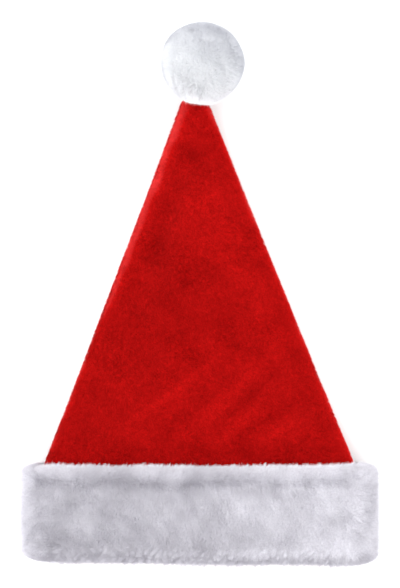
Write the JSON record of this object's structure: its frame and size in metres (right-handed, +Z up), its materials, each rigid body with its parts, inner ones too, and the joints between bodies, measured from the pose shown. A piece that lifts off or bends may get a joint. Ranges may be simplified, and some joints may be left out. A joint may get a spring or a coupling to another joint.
{
  "type": "santa hat",
  "caption": "Soft tapering plush hat lying flat, with a hollow crown, a deep turned-up fur cuff round its mouth and a round fur pompom gathered at its tip.",
  "frame": {"origin": "on the surface that the hat lies on, under the middle of its bounding box", "axes": "+X across the hat to its right, +Y from the mouth to the pompom, +Z up out of the front of the lying hat"},
  "size_m": [0.3124, 0.4738, 0.0697],
  "materials": {
    "crown_plush": "red plush with a fine short pile and a soft sheen",
    "cuff_fur": "cool white faux fur, dense and matte, in soft tufts",
    "pompom_fur": "cool white faux fur, short and dense, pleated at its gather"
  },
  "bodies": {
    "root": {"crown": "crown_plush", "cuff": "cuff_fur", "pompom": "pompom_fur"}
  },
  "joints": []
}
